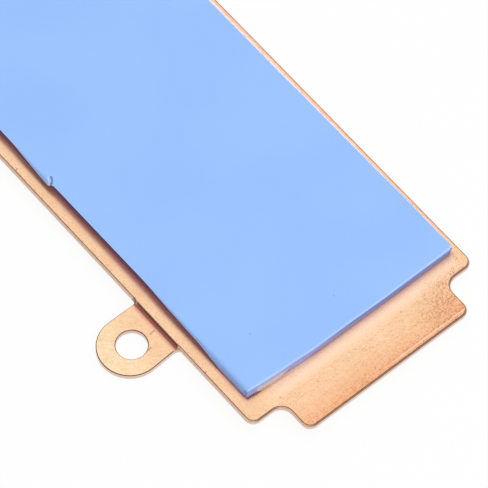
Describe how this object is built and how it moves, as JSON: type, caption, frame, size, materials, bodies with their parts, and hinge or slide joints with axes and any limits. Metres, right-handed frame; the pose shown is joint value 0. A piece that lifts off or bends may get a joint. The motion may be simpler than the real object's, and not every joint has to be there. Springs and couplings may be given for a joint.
{
  "type": "ssd heatsink",
  "caption": "Flat stamped copper heatsink for a memory module, with a narrower tongue, a set-down screw ear on one long side and a film-covered thermal pad.",
  "frame": {"origin": "centre of the ear's screw hole, halfway through the sheet", "axes": "+X along the plate towards the tongue, +Y across the plate away from the ear, +Z out of the pad's face"},
  "size_m": [0.08, 0.0297, 0.0019],
  "materials": {
    "copper": "bright rolled copper, satin with fine scratches",
    "pad": "matt filled silicone",
    "film": "satin polyester film"
  },
  "bodies": {
    "root": {"copper_plate": "copper", "thermal_pad": "pad", "release_film": "film"}
  },
  "joints": []
}
